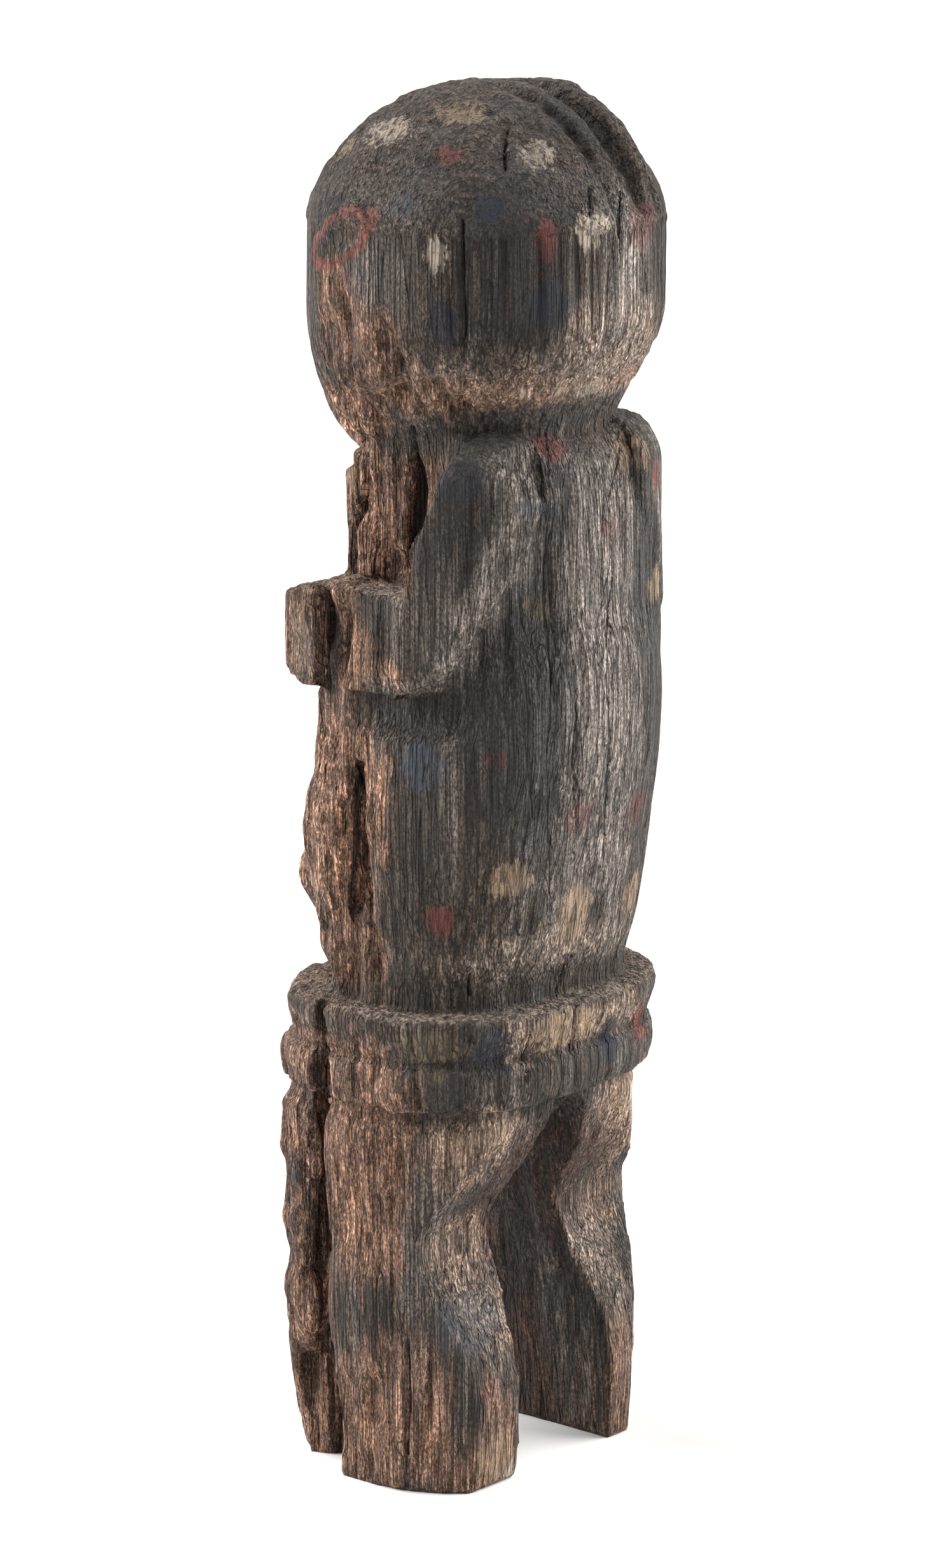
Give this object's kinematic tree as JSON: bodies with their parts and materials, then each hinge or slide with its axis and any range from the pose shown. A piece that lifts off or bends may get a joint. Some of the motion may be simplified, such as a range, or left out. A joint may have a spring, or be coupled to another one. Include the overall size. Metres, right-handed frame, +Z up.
{
  "type": "ancestor figure",
  "caption": "Weathered ancestor figure carved from one log, standing on its own two legs, with a domed head, forearms held forward and a stepped belt.",
  "frame": {"origin": "middle of the footprint, on the floor under the feet", "axes": "+Z up from the feet to the crown, -Y the way the figure looks, +X to the figure's own left"},
  "size_m": [0.165, 0.1544, 0.5998],
  "materials": {
    "weathered_wood": "bare, weathered and dusty, with dabs of old paint"
  },
  "bodies": {
    "root": {"figure": "weathered_wood"}
  },
  "joints": []
}
